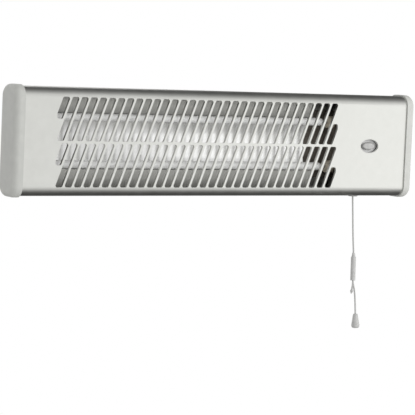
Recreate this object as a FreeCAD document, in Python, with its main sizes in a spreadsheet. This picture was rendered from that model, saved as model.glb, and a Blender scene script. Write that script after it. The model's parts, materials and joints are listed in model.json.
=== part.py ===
"""Quartz wall heater on a tilting wall bracket, with a pull cord. Millimetres.

The origin lies on the wall, midway between the two wall screws: +X to the right seen from the front,
+Y into the wall, +Z up. The heater itself is drawn upright about its pivot axis and then tilted.
"""
import FreeCAD, Part
import math
import os

import Sketcher

V = FreeCAD.Vector

SIZES = {
    # wall bracket and pivot
    "pivot_stand_off": 30.0,
    "rest_tilt": 4.75,
    "plate_length": 260.0,
    "plate_height": 34.0,
    "plate_sheet": 2.0,
    "plate_corner": 6.0,
    "screw_spacing": 220.0,
    "screw_hole": 5.5,
    "bracket_width": 180.0,
    "arm_eye": 18.0,
    "foot_length": 26.0,
    "rivet_diameter": 4.0,
    "rivet_head": 7.0,
    "rivet_head_height": 1.4,
    "pivot_bolt": 5.0,
    "bolt_head": 9.0,
    "bolt_head_height": 3.0,
    "bolt_head_slope": 1.5,
    "bolt_tail": 1.0,
    "nut_flats": 8.0,
    "nut_height": 4.0,
    "washer_thickness": 1.0,
    "washer_diameter": 12.0,
    "turning_gap": 0.1,
    # casing
    "pivot_gap": 14.0,
    "body_length": 574.6,
    "body_height": 135.0,
    "body_depth": 42.0,
    "edge_radius": 13.5,
    "sheet": 2.0,
    "lip_width": 9.0,
    "lip_gap": 1.0,
    "cover_sheet": 1.0,
    "fit_gap": 0.2,
    "cap_width": 12.7,
    "cap_proud": 1.8,
    "cap_edge": 7.0,
    "cap_wall": 2.4,
    "plug_depth": 9.0,
    # grille
    "first_slot_inset": 59.7,
    "panel_width": 125.0,
    "slot_pitch": 12.91,
    "slot_width": 9.9,
    "slot_depth": 3.4,
    "web_margin": 2.0,
    "slot_slant": 20.8,
    "slot_corner": 2.4,
    "stub_flat": 6.9,
    "row_margin": 11.6,
    "mid_bar": 3.0,
    # rear cover details
    "vent_length": 34.0,
    "vent_width": 4.0,
    "vent_pitch": 46.0,
    "vent_margin": 30.0,
    "cover_screw_inset": 27.0,
    "small_screw": 3.0,
    "small_head": 6.0,
    "small_head_height": 1.8,
    "screw_tail": 2.0,
    # heating tubes
    "tube_diameter": 10.6,
    "tube_wall": 1.2,
    "tube_spread": 0.9,
    "core_lift": 0.9,
    "tube_depth": 21.0,
    "tube_left_inset": 50.0,
    "tube_right_inset": 128.0,
    "coil_diameter": 5.6,
    "coil_wall": 0.6,
    "tip_length": 5.0,
    "tip_middle": 9.4,
    "tip_end": 5.4,
    "pin_diameter": 3.0,
    "pin_reach": 10.0,
    "holder_gap": 7.0,
    "holder_diameter": 16.0,
    "holder_length": 8.0,
    "holder_spigot": 10.0,
    "spigot_length": 4.5,
    "carrier_sheet": 1.5,
    "carrier_foot": 12.0,
    "carrier_rim": 3.0,
    # reflector
    "reflector_sheet": 0.8,
    "reflector_right_inset": 142.3,
    "wing_depth": 16.0,
    "wing_overlap": 1.1,
    "trough_room": 4.0,
    "trough_sag": 12.5,
    "trough_gap": 0.4,
    # indicator
    "oval_inset": 59.3,
    "oval_width": 28.8,
    "oval_height": 18.6,
    "bezel_rim": 3.0,
    "bezel_lip": 0.6,
    "bezel_ledge": 4.2,
    "bezel_thickness": 5.0,
    "dish_depth": 3.0,
    "lens_proud": 1.0,
    "lens_round": 2.2,
    "lamp_diameter": 5.0,
    "lamp_length": 13.0,
    "tray_wall": 1.5,
    # pull switch and cord
    "cord_inset": 68.3,
    "cord_diameter": 2.2,
    "switch_width": 26.0,
    "switch_depth": 13.0,
    "switch_seat": 1.5,
    "switch_wall": 5.0,
    "neck_diameter": 10.0,
    "plunger_diameter": 7.6,
    "plunger_length": 12.0,
    "plunger_travel": 11.0,
    "plunger_room": 1.0,
    "plunger_clearance": 0.2,
    "bush_flange": 13.0,
    "bush_flange_height": 1.5,
    "bush_spigot": 7.0,
    "bush_bore": 3.4,
    "swing_room": 0.8,
    "swing_gap": 0.05,
    "connector_top": 81.0,
    "connector_shift": 1.4,
    "connector_lean": 2.2,
    "connector_diameter": 6.8,
    "connector_bore": 5.0,
    "upper_half_length": 22.0,
    "lower_half_length": 10.0,
    "joint_chamfer": 0.3,
    "joint_overlap": 3.0,
    "joint_wall": 0.4,
    "nose_length": 5.5,
    "nose_tip": 3.6,
    "nose_base": 5.2,
    "nose_wall": 1.5,
    "cord_slack": 0.25,
    "knot_diameter": 4.2,
    "bell_length": 19.2,
    "bell_diameter": 11.0,
    "bell_neck": 6.2,
    "bell_chamfer": 0.6,
    "bell_flare": 15.0,
    "bell_round": 3.2,
    "bell_hole_depth": 5.0,
    # other inner parts
    "block_inset": 35.3,
    "block_length": 34.0,
    "block_height": 16.0,
    "block_depth": 15.0,
    "well_diameter": 7.0,
    "cutout_diameter": 15.0,
    "cutout_flange": 2.4,
    "cutout_can": 12.6,
    "cutout_height": 8.0,
    "grommet_inset": 35.3,
    "grommet_diameter": 16.0,
    "grommet_hole": 11.0,
    "grommet_dimple": 7.0,
    "grommet_lip": 2.0,
}

# Places in the upright heater, counted from its pivot axis
REAR = "(-Size.pivot_gap)"
COVER_INNER = "(-Size.pivot_gap - Size.cover_sheet)"
FRONT = "(-Size.pivot_gap - Size.body_depth)"
PANEL_INNER = "(-Size.pivot_gap - Size.body_depth + Size.sheet)"
HALF_HEIGHT = "(Size.body_height / 2)"
HALF_LENGTH = "(Size.body_length / 2)"
BEND_Z = "(Size.body_height / 2 - Size.edge_radius)"
LIP_FACE = "(-Size.pivot_gap - Size.cover_sheet - Size.sheet)"
LIP_END = f"({BEND_Z} - Size.lip_width)"
VENT_RISE = f"({LIP_END} - Size.lip_gap - Size.vent_width / 2)"
BLOCK_RISE = f"({LIP_END} - Size.lip_gap - Size.block_height / 2)"
GROMMET_DROP = f"({LIP_END} - Size.lip_gap - Size.grommet_diameter / 2)"
OVAL_X = f"({HALF_LENGTH} - Size.oval_inset)"
CORD_X = f"({HALF_LENGTH} - Size.cord_inset)"
GROMMET_X = f"({HALF_LENGTH} - Size.grommet_inset)"
SLOT_TOP = f"({HALF_HEIGHT} - Size.row_margin)"
SLOT_FOOT = "(Size.mid_bar / 2)"
TUBE_HALF = f"(({SLOT_TOP} + {SLOT_FOOT}) / 2 + Size.tube_spread)"
TUBE_ROWS = (("upper", f"(Size.core_lift + {TUBE_HALF})"), ("lower", f"(Size.core_lift - {TUBE_HALF})"))
TUBE_Y = "(-Size.pivot_gap - Size.body_depth + Size.tube_depth)"
TUBE_LEFT = f"(Size.tube_left_inset - {HALF_LENGTH})"
TUBE_RIGHT = f"({HALF_LENGTH} - Size.tube_right_inset)"
TUBE_LENGTH = f"({TUBE_RIGHT} - {TUBE_LEFT})"
HOLDER_OFFSET = "(Size.tip_length + Size.holder_gap)"
CORD_Y = f"(({FRONT} + {COVER_INNER}) / 2)"
FLOOR = "(-Size.body_height / 2 + Size.sheet)"
BUSH_TOP = "(-Size.body_height / 2 + Size.bush_spigot)"
PLUNGER_FOOT = "(-Size.body_height / 2 + Size.bush_spigot + Size.plunger_travel + Size.plunger_room)"
SWING_Z = "(-Size.body_height / 2 - Size.bush_flange_height - Size.swing_room)"
HOLDER_SHELF = f"({HOLDER_OFFSET} + Size.holder_length)"
HOLDER_TAIL = f"({HOLDER_SHELF} + Size.spigot_length)"
SWITCH_BORE = "(Size.plunger_diameter + 2 * Size.plunger_clearance)"
BORE_TOP = f"({PLUNGER_FOOT} + Size.plunger_length + Size.plunger_room)"

# Places along the pivot, the same on the left and on the right
RIVET_X = "(Size.bracket_width / 2 - Size.foot_length / 2)"
RIVET_Z = "(Size.arm_eye / 4)"
ARM_OUTER = "(Size.bracket_width / 2 + Size.plate_sheet)"
LUG_OUTER = "(Size.bracket_width / 2 - Size.washer_thickness - 2 * Size.turning_gap)"
LUG_INNER = f"({LUG_OUTER} - Size.plate_sheet)"
NUT_FACE = f"({LUG_INNER} - Size.washer_thickness - 2 * Size.turning_gap)"

# Counts that follow from the length of the casing
FIRST_SLOT = f"(Size.first_slot_inset - {HALF_LENGTH})"
SLOT_COUNT = "(floor((Size.body_length - Size.first_slot_inset - Size.panel_width) / Size.slot_pitch) + 1)"
VENT_COUNT = f"(floor(({TUBE_LENGTH} - 2 * Size.vent_margin) / Size.vent_pitch) + 1)"

# How far the rounding reaches along a slot's edges in its sharp and its blunt corners
SHARP_REACH = "(Size.slot_corner / tan(45 - Size.slot_slant / 2))"
BLUNT_REACH = "(Size.slot_corner / tan(45 + Size.slot_slant / 2))"

# Routes of the two free cords, from the mouth of the guide bush: right, back, up
UPPER_ROUTE = [
    (0.0, 0.0, 0.0),
    (0.25, 0.0, -22.0),
    (0.6, 0.1, -46.0),
    (1.0, 0.05, -63.0),
    (1.55, 0.0, -75.5),
    (1.25, -0.15, -83.5),
    (0.3, -0.97, -94.0),
    (0.0, -1.0, -105.0),
    (-0.35, -1.04, -114.5),
    (-0.9, -0.9, -120.5),
    (-1.8, -0.45, -126.0),
]
LOWER_ROUTE = [
    (1.4, 1.0, -98.0),
    (1.2, 1.03, -106.0),
    (0.95, 1.0, -114.5),
    (2.1, 0.7, -120.5),
    (3.3, 0.2, -128.0),
    (3.75, -0.3, -138.5),
    (3.95, -0.6, -151.0),
    (4.0, -0.7, -163.0),
]
ARC_SHARE = 0.45

doc = FreeCAD.newDocument("quartz_wall_heater")
nodes = []


def fill_sheet():
    """The spreadsheet of driving sizes, one named cell each."""
    table = doc.addObject("Spreadsheet::Sheet", "Size")
    for row, (alias, value) in enumerate(SIZES.items(), start=1):
        table.set(f"A{row}", alias)
        table.set(f"B{row}", str(value))
        table.setAlias(f"B{row}", alias)
    doc.recompute()
    return table


sheet = fill_sheet()


def number(expression):
    """What an expression over the sheet is worth now."""
    return float(sheet.evalExpression(str(expression)))


def node(shape_object, label):
    """Name a finished sub-part and list it for writing."""
    shape_object.Label = label
    nodes.append(shape_object)
    return shape_object


# Sketches

def new_body(name):
    return doc.addObject("PartDesign::Body", name)


def new_sketch(body, plane, level="0"):
    """A sketch on one of the body's own planes, moved to a level along +X, +Y or +Z."""
    sketch = body.newObject("Sketcher::SketchObject", f"{body.Name}_sketch")
    support = [item for item in body.Origin.OriginFeatures if item.Role == f"{plane}_Plane"]
    sketch.AttachmentSupport = [(support[0], "")]
    sketch.MapMode = "FlatFace"
    sign = "-" if plane == "XZ" else ""
    sketch.setExpression("AttachmentOffset.Base.z", f"{sign}({level})")
    return sketch


def bind(sketch, kind, references, expression):
    """Add a dimension to a sketch and bind it to an expression."""
    index = sketch.addConstraint(Sketcher.Constraint(kind, *references, number(expression)))
    sketch.setExpression(f"Constraints[{index}]", str(expression))


def draw_arc(sketch, start, end, centre, turn):
    """Add an arc from start to end, turning left (+1) or right (-1). Gives its end positions."""
    radius = math.dist(start, centre)
    first, last = (start, end) if turn > 0 else (end, start)
    angles = [math.atan2(p[1] - centre[1], p[0] - centre[0]) for p in (first, last)]
    circle = Part.Circle(V(*centre, 0), V(0, 0, 1), radius)
    sketch.addGeometry(Part.ArcOfCircle(circle, *angles), False)
    return (1, 2) if turn > 0 else (2, 1)


def draw_outline(sketch, corners, arcs=None):
    """Add a closed outline. arcs maps a corner's index to (centre x, centre y, turn) of its edge."""
    arcs = arcs or {}
    points = [(number(x), number(y)) for x, y in corners]
    first = sketch.GeometryCount
    count = len(points)
    ends = []
    for i, start in enumerate(points):
        end = points[(i + 1) % count]
        if i in arcs:
            centre = (number(arcs[i][0]), number(arcs[i][1]))
            ends.append(draw_arc(sketch, start, end, centre, arcs[i][2]))
        else:
            sketch.addGeometry(Part.LineSegment(V(*start, 0), V(*end, 0)), False)
            ends.append((1, 2))
    for i in range(count):
        following = (i + 1) % count
        sketch.addConstraint(Sketcher.Constraint(
            "Coincident", first + i, ends[i][1], first + following, ends[following][0]))
    for i, (x, y) in enumerate(corners):
        bind(sketch, "DistanceX", (-1, 1, first + i, ends[i][0]), x)
        bind(sketch, "DistanceY", (-1, 1, first + i, ends[i][0]), y)
    for i, (x, y, turn) in arcs.items():
        start, end = points[i], points[(i + 1) % count]
        if abs(end[0] - start[0]) <= abs(end[1] - start[1]):
            bind(sketch, "DistanceX", (-1, 1, first + i, 3), x)
        else:
            bind(sketch, "DistanceY", (-1, 1, first + i, 3), y)


def draw_box(sketch, x0, x1, y0, y1):
    draw_outline(sketch, [(x0, y0), (x1, y0), (x1, y1), (x0, y1)])


def draw_circle(sketch, x, y, diameter):
    index = sketch.addGeometry(Part.Circle(V(number(x), number(y), 0), V(0, 0, 1), number(diameter) / 2))
    bind(sketch, "Diameter", (index,), diameter)
    bind(sketch, "DistanceX", (-1, 1, index, 3), x)
    bind(sketch, "DistanceY", (-1, 1, index, 3), y)


def draw_oval(sketch, x, y, width, height):
    """An ellipse, wider than it is high, with its axes bound to the sheet."""
    centre = V(number(x), number(y), 0)
    across = V(number(width) / 2, 0, 0)
    upward = V(0, number(height) / 2, 0)
    index = sketch.addGeometry(Part.Ellipse(centre + across, centre + upward, centre))
    sketch.exposeInternalGeometry(index)
    sketch.addConstraint(Sketcher.Constraint("Horizontal", index + 1))
    bind(sketch, "Distance", (index + 1,), width)
    bind(sketch, "Distance", (index + 2,), height)
    bind(sketch, "DistanceX", (-1, 1, index, 3), x)
    bind(sketch, "DistanceY", (-1, 1, index, 3), y)


# Features

def pad(body, sketch, length):
    feature = body.newObject("PartDesign::Pad", f"{body.Name}_pad")
    feature.Profile = sketch
    feature.setExpression("Length", str(length))
    doc.recompute()
    return feature


def pocket(body, sketch, depth, reverse=False):
    """Cut a sketch into the body, towards +Y, -X or -Z unless reversed."""
    before = body.Shape.Volume
    feature = body.newObject("PartDesign::Pocket", f"{body.Name}_pocket")
    feature.Profile = sketch
    feature.Reversed = reverse
    feature.Refine = False
    feature.setExpression("Length", str(depth))
    doc.recompute()
    if not body.Shape.Volume < before:
        raise RuntimeError(f"a pocket of {body.Name} cuts nothing")
    return feature


def revolve(body, sketch, axis):
    feature = body.newObject("PartDesign::Revolution", f"{body.Name}_turn")
    feature.Profile = sketch
    feature.ReferenceAxis = (sketch, [axis])
    feature.Angle = 360
    doc.recompute()
    return feature


def repeat(body, features, sketch, pitch, count):
    """Repeat pockets along the sketch's horizontal axis."""
    pattern = body.newObject("PartDesign::LinearPattern", f"{body.Name}_row")
    pattern.Originals = features
    pattern.Refine = False
    pattern.Direction = (sketch, ["H_Axis"])
    pattern.setExpression("Length", f"{pitch} * ({count} - 1)")
    pattern.setExpression("Occurrences", count)
    body.Tip = pattern
    doc.recompute()
    return pattern


def round_edges(body, radius, chosen):
    """Fillet the edges of the body that the test picks."""
    base = body.Tip
    names = [f"Edge{i}" for i, edge in enumerate(base.Shape.Edges, start=1) if chosen(edge)]
    fillet = body.newObject("PartDesign::Fillet", f"{body.Name}_round")
    fillet.Base = (base, names)
    fillet.setExpression("Radius", radius)
    doc.recompute()
    return fillet


def runs_along(edge, axis):
    """Whether an edge is a straight one along axis 0, 1 or 2."""
    if edge.Curve.TypeId != "Part::GeomLine":
        return False
    direction = edge.Vertexes[1].Point - edge.Vertexes[0].Point
    return abs(abs(direction[axis]) - direction.Length) < 1e-6


# Placing

def on_bracket(piece, x="0", y="0", z="0"):
    for axis, value in zip("xyz", (x, y, z)):
        piece.setExpression(f"Placement.Base.{axis}", str(value))
    return piece


def heater_point(x, y, z):
    """Where the tilt carries a point of the upright heater."""
    ahead = f"({y}) * cos(Size.rest_tilt) - ({z}) * sin(Size.rest_tilt) - Size.pivot_stand_off"
    above = f"({y}) * sin(Size.rest_tilt) + ({z}) * cos(Size.rest_tilt)"
    return x, ahead, above


def on_heater(piece, x="0", y="0", z="0"):
    """Fix a piece in the heater, tilted with it."""
    piece.Placement = FreeCAD.Placement(V(), FreeCAD.Rotation(V(1, 0, 0), number("Size.rest_tilt")))
    on_bracket(piece, *heater_point(x, y, z))
    piece.setExpression("Placement.Rotation.Angle", "Size.rest_tilt")
    return piece


def on_cord(piece, right="0", back="0", up="0"):
    """Hang a piece plumb under the mouth of the guide bush, shifted from it."""
    x, y, z = heater_point(CORD_X, CORD_Y, SWING_Z)
    return on_bracket(piece, f"{x} + {right}", f"{y} + {back}", f"{z} + {up}")


def group(label, members):
    """Several separate solids of one kind as one sub-part."""
    compound = doc.addObject("Part::Compound", label)
    compound.Links = members
    doc.recompute()
    return node(compound, label)


# Turned parts

def turned(name, plane, axis, outline, arcs=None):
    """A solid of revolution from a half outline."""
    body = new_body(name)
    sketch = new_sketch(body, plane)
    draw_outline(sketch, outline, arcs)
    revolve(body, sketch, axis)
    return body


def headed_pin(name, shank, shank_length, head, head_height):
    """A screw or rivet along Y: its head stands on y = 0 towards the wall, its shank points forward."""
    outline = [
        ("0", head_height), (f"{head} / 2 - {head_height} / 2", head_height), (f"{head} / 2", "0"),
        (f"{shank} / 2", "0"), (f"{shank} / 2", f"-({shank_length})"), ("0", f"-({shank_length})")]
    return turned(name, "XY", "V_Axis", outline)


# Wall bracket

def wall_plate():
    body = new_body("wall_plate")
    outline = new_sketch(body, "XZ", "0")
    draw_box(outline, "-Size.plate_length / 2", "Size.plate_length / 2",
             "-Size.plate_height / 2", "Size.plate_height / 2")
    pad(body, outline, "Size.plate_sheet")
    round_edges(body, "Size.plate_corner", lambda edge: runs_along(edge, 1))
    holes = new_sketch(body, "XZ", "-Size.plate_sheet")
    for side in ("-", ""):
        draw_circle(holes, f"{side}Size.screw_spacing / 2", "0", "Size.screw_hole")
        for row in ("-", ""):
            draw_circle(holes, f"{side}{RIVET_X}", f"{row}{RIVET_Z}", "Size.rivet_diameter")
    pocket(body, holes, "Size.plate_sheet")
    node(body, "wall_plate")


def eyed_plate(body, start, seat):
    """An upright strip from its seat to a round eye about the pivot."""
    strip = new_sketch(body, "YZ", start)
    top = "Size.arm_eye / 2"
    turn = 1 if number(seat) < 0 else -1
    draw_outline(strip, [(seat, top), (seat, f"-{top}"), ("0", f"-{top}"), ("0", top)], {2: ("0", "0", turn)})
    pad(body, strip, "Size.plate_sheet")


def bracket_arm(label, side):
    """An angle piece: a foot on the wall plate and an upright with the pivot hole."""
    body = new_body(label)
    start = "Size.bracket_width / 2" if side > 0 else f"-{ARM_OUTER}"
    seat = "Size.pivot_stand_off - Size.plate_sheet"
    eyed_plate(body, start, seat)
    foot = new_sketch(body, "XZ", seat)
    inner, outer = "Size.bracket_width / 2 - Size.foot_length", ARM_OUTER
    edges = (inner, outer) if side > 0 else (f"-{outer}", f"-({inner})")
    draw_box(foot, *edges, "-Size.arm_eye / 2", "Size.arm_eye / 2")
    pad(body, foot, "Size.plate_sheet")
    eye = new_sketch(body, "YZ", f"{start} + Size.plate_sheet")
    draw_circle(eye, "0", "0", "Size.pivot_bolt + 2 * Size.turning_gap")
    pocket(body, eye, "Size.plate_sheet")
    rivets = new_sketch(body, "XZ", f"{seat} - Size.plate_sheet")
    for row in ("-", ""):
        draw_circle(rivets, f"{'' if side > 0 else '-'}{RIVET_X}", f"{row}{RIVET_Z}", "Size.rivet_diameter")
    pocket(body, rivets, "Size.plate_sheet")
    on_bracket(body, y="-Size.pivot_stand_off")
    node(body, label)


def bracket_rivets():
    members = []
    for column, side in enumerate(("-", "")):
        for line, row in enumerate(("-", "")):
            rivet = turned(f"bracket_rivet_{column}{line}", "XY", "V_Axis", [
                ("0", "0"), ("Size.rivet_diameter / 2", "0"),
                ("Size.rivet_diameter / 2", "-2 * Size.plate_sheet"),
                ("Size.rivet_head / 2", "-2 * Size.plate_sheet"),
                ("Size.rivet_head / 2 - Size.rivet_head_height",
                 "-2 * Size.plate_sheet - Size.rivet_head_height"),
                ("0", "-2 * Size.plate_sheet - Size.rivet_head_height")])
            members.append(on_bracket(rivet, f"{side}{RIVET_X}", "0", f"{row}{RIVET_Z}"))
    group("bracket_rivets", members)


def pivot_bolts():
    """Button-headed bolts along X, one through each arm and lug."""
    members = []
    tail = f"({NUT_FACE} - Size.nut_height - Size.bolt_tail)"
    for name, side in (("left_pivot_bolt", "-"), ("right_pivot_bolt", "")):
        face = f"{side}{ARM_OUTER}"
        out = f"{side}Size.bolt_head_height"
        bolt = turned(name, "XZ", "H_Axis", [
            (f"{face} + {out}", "0"), (f"{face} + {out}", "Size.bolt_head / 2 - Size.bolt_head_slope"),
            (f"{face} + {out} / 3", "Size.bolt_head / 2"), (face, "Size.bolt_head / 2"),
            (face, "Size.pivot_bolt / 2"), (f"{side}{tail}", "Size.pivot_bolt / 2"), (f"{side}{tail}", "0")])
        members.append(on_bracket(bolt, y="-Size.pivot_stand_off"))
    group("pivot_bolts", members)


def ring_x(name, inner, outer, start, length):
    """A washer or spacer along X."""
    body = new_body(name)
    sketch = new_sketch(body, "YZ", start)
    draw_circle(sketch, "0", "0", outer)
    draw_circle(sketch, "0", "0", inner)
    pad(body, sketch, length)
    return body


def pivot_washers():
    """A friction washer between each arm and lug, and one under each nut."""
    members = []
    bore = "Size.pivot_bolt + 2 * Size.turning_gap"
    for place, face in (("outer", f"{LUG_OUTER} + Size.turning_gap"),
                        ("inner", f"{NUT_FACE} + Size.turning_gap")):
        for name, start in (("left", f"-({face} + Size.washer_thickness)"), ("right", face)):
            washer = ring_x(f"{name}_{place}_washer", bore, "Size.washer_diameter", start,
                            "Size.washer_thickness")
            members.append(on_bracket(washer, y="-Size.pivot_stand_off"))
    group("pivot_washers", members)


def pivot_nuts():
    """Hexagon nuts on the inner ends of the pivot bolts."""
    members = []
    point = "(Size.nut_flats / sqrt(3))"
    corners = [(f"{point} * cos({60 * i})", f"{point} * sin({60 * i})") for i in range(6)]
    for name, start in (("left_pivot_nut", f"-{NUT_FACE}"),
                        ("right_pivot_nut", f"{NUT_FACE} - Size.nut_height")):
        body = new_body(name)
        sketch = new_sketch(body, "YZ", start)
        draw_outline(sketch, corners)
        draw_circle(sketch, "0", "0", "Size.pivot_bolt + 2 * Size.turning_gap")
        pad(body, sketch, "Size.nut_height")
        members.append(on_bracket(body, y="-Size.pivot_stand_off"))
    group("pivot_nuts", members)


# Casing

def rounded_section(inset):
    """Corners and arcs of the casing's outer section, with four rounded edges, inset all round."""
    top = f"({HALF_HEIGHT} - ({inset}))"
    front = f"({FRONT} + ({inset}))"
    rear = f"({COVER_INNER} - ({inset}))"
    bend_front = f"({FRONT} + Size.edge_radius)"
    bend_rear = f"({COVER_INNER} - Size.edge_radius)"
    corners = [(rear, BEND_Z), (bend_rear, top), (bend_front, top), (front, BEND_Z),
               (front, f"-{BEND_Z}"), (bend_front, f"-{top}"), (bend_rear, f"-{top}"), (rear, f"-{BEND_Z}")]
    arcs = {0: (bend_rear, BEND_Z, 1), 2: (bend_front, BEND_Z, 1),
            4: (bend_front, f"-{BEND_Z}", 1), 6: (bend_rear, f"-{BEND_Z}", 1)}
    return corners, arcs


def front_housing():
    """The silver casing: one drawn section with rear lips, a slotted web and the indicator's window."""
    body = new_body("front_housing")
    profile = new_sketch(body, "YZ", f"-{HALF_LENGTH}")
    outer, outer_arcs = rounded_section("0")
    inner, inner_arcs = rounded_section("Size.sheet")
    corners = [(COVER_INNER, LIP_END)] + outer + [(COVER_INNER, f"-{LIP_END}"), (LIP_FACE, f"-{LIP_END}")]
    corners += inner[::-1] + [(LIP_FACE, LIP_END)]
    arcs = {index + 1: arc for index, arc in outer_arcs.items()}
    last = len(corners) - 2
    for index, (x, y, turn) in inner_arcs.items():
        arcs[last - index - 1] = (x, y, -turn)
    draw_outline(profile, corners, arcs)
    pad(body, profile, "Size.body_length")
    slotted_web(body)
    window = new_sketch(body, "XZ", FRONT)
    draw_oval(window, OVAL_X, "0", "Size.oval_width", "Size.oval_height")
    pocket(body, window, "2 * Size.sheet")
    neck = new_sketch(body, "XY", FLOOR)
    draw_circle(neck, CORD_X, CORD_Y, "Size.neck_diameter + 2 * Size.fit_gap")
    pocket(body, neck, "2 * Size.sheet")
    screw_holes = new_sketch(body, "XZ", LIP_FACE)
    for x, z in cover_screw_places():
        draw_circle(screw_holes, x, z, "Size.small_screw")
    pocket(body, screw_holes, "2 * Size.sheet")
    on_heater(body)
    node(body, "front_housing")


def slot_corner(x, z, across, upward):
    """Rounds a slot's corner whose level edge runs across (+1 or -1) and whose slanted edge runs upward.

    Gives the arc's end on the level edge, its end on the slanted edge, and its centre.
    """
    reach = SHARP_REACH if across == upward else BLUNT_REACH
    level_end = (f"{x} + {across} * {reach}", z)
    slant_end = (f"{x} + {upward} * {reach} * sin(Size.slot_slant)",
                 f"{z} + {upward} * {reach} * cos(Size.slot_slant)")
    centre = (f"{x} + {across} * {reach}", f"{z} + {upward} * Size.slot_corner")
    return level_end, slant_end, centre


def slot_outline(rise, lean):
    """A slanted slot about its own middle, as corners and arcs."""
    half = "Size.slot_width / 2"
    corners, arcs = [], {}
    places = ((f"{lean} - {half}", rise, 1, -1), (f"-{lean} - {half}", f"-{rise}", 1, 1),
              (f"-{lean} + {half}", f"-{rise}", -1, 1), (f"{lean} + {half}", rise, -1, -1))
    for index, place in enumerate(places):
        level_end, slant_end, centre = slot_corner(*place)
        arcs[len(corners)] = centre
        corners += [level_end, slant_end] if index % 2 == 0 else [slant_end, level_end]
    return corners, arcs


def half_slot_outline(rise, lean):
    """The upper half of a slot, with an upright outer side below its slanted one."""
    half = "Size.slot_width / 2"
    side = f"(Size.stub_flat * tan(Size.slot_slant) - {half})"
    level_end, slant_end, top_left = slot_corner(f"{lean} - {half}", rise, 1, -1)
    corners = [level_end, slant_end, (side, "Size.stub_flat"), (side, "Size.slot_corner"),
               (f"{side} + Size.slot_corner", "0")]
    arcs = {0: top_left, 3: (f"{side} + Size.slot_corner", "Size.slot_corner")}
    level_end, slant_end, low_right = slot_corner(half, "0", -1, 1)
    corners += [level_end, slant_end]
    arcs[5] = low_right
    level_end, slant_end, top_right = slot_corner(f"{lean} + {half}", rise, -1, -1)
    corners += [slant_end, level_end]
    arcs[7] = top_right
    return corners, arcs


def draw_turned(sketch, x, z, outline, turn):
    """Draw an outline about a point, upright (+) or turned round by half a turn (-)."""
    corners, arcs = outline
    placed = [(f"{x} {turn} ({dx})", f"{z} {turn} ({dz})") for dx, dz in corners]
    bends = {i: (f"{x} {turn} ({dx})", f"{z} {turn} ({dz})", 1) for i, (dx, dz) in arcs.items()}
    draw_outline(sketch, placed, bends)


def slotted_web(body):
    """A thicker field with two rows of slanted slots, and half a slot at both ends of each row."""
    rise = f"(({SLOT_TOP} - {SLOT_FOOT}) / 2)"
    lean = f"({rise} * tan(Size.slot_slant))"
    margin = f"({lean} + Size.slot_width / 2 + Size.web_margin)"
    web = new_sketch(body, "XZ", f"{FRONT} + Size.slot_depth")
    left = f"{FIRST_SLOT} - Size.slot_pitch - {margin}"
    right = f"{FIRST_SLOT} + {SLOT_COUNT} * Size.slot_pitch + {margin}"
    draw_box(web, left, right, f"-{SLOT_TOP} - Size.web_margin", f"{SLOT_TOP} + Size.web_margin")
    pad(body, web, "Size.slot_depth - Size.sheet / 2")
    ends = new_sketch(body, "XZ", FRONT)
    slots = new_sketch(body, "XZ", FRONT)
    for row in ("", "-"):
        middle = f"({row}({SLOT_TOP} + {SLOT_FOOT}) / 2)"
        draw_turned(slots, FIRST_SLOT, middle, slot_outline(rise, lean), "+")
        draw_turned(ends, f"({FIRST_SLOT} - Size.slot_pitch)", middle, half_slot_outline(rise, lean), "+")
        draw_turned(ends, f"({FIRST_SLOT} + {SLOT_COUNT} * Size.slot_pitch)", middle,
                    half_slot_outline(rise, lean), "-")
    pocket(body, ends, "Size.edge_radius")
    repeat(body, [pocket(body, slots, "Size.edge_radius")], slots, "Size.slot_pitch", SLOT_COUNT)


def cover_screw_places():
    """Six screws through the casing's rear lips."""
    far = f"({HALF_LENGTH} - Size.cover_screw_inset)"
    rise = f"({BEND_Z} - Size.fit_gap - Size.small_head / 2)"
    return [(x, z) for x in (f"-{far}", "0", far) for z in (rise, f"-{rise}")]


def rear_cover():
    """The steel back plate, with two rows of vents and the holes for what it carries."""
    body = new_body("rear_cover")
    outline = new_sketch(body, "XZ", REAR)
    draw_box(outline, f"-{HALF_LENGTH} + Size.fit_gap", f"{HALF_LENGTH} - Size.fit_gap",
             f"-{BEND_Z} + Size.fit_gap", f"{BEND_Z} - Size.fit_gap")
    pad(body, outline, "Size.cover_sheet")
    first = f"(({TUBE_LEFT} + {TUBE_RIGHT} - ({VENT_COUNT} - 1) * Size.vent_pitch) / 2)"
    vents = new_sketch(body, "XZ", COVER_INNER)
    for row in ("-", ""):
        draw_box(vents, f"{first} - Size.vent_length / 2", f"{first} + Size.vent_length / 2",
                 f"{row}{VENT_RISE} - Size.vent_width / 2", f"{row}{VENT_RISE} + Size.vent_width / 2")
    repeat(body, [pocket(body, vents, "2 * Size.cover_sheet")], vents, "Size.vent_pitch", VENT_COUNT)
    holes = new_sketch(body, "XZ", COVER_INNER)
    for x, z in cover_screw_places() + lug_screw_places() + carrier_screw_places():
        draw_circle(holes, x, z, "Size.small_screw")
    draw_circle(holes, GROMMET_X, f"-{GROMMET_DROP}", "Size.grommet_hole")
    pocket(body, holes, "2 * Size.cover_sheet")
    on_heater(body)
    node(body, "rear_cover")


def screw_group(label, places, clamped, seat):
    """Pan-head screws in from the rear, through what they clamp, their heads standing on a seat."""
    members = []
    for index, (x, z) in enumerate(places):
        screw = headed_pin(f"{label}_{index}", "(Size.small_screw - Size.fit_gap)",
                           f"{clamped} + Size.screw_tail", "Size.small_head", "Size.small_head_height")
        members.append(on_heater(screw, x, seat, z))
    group(label, members)


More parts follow.
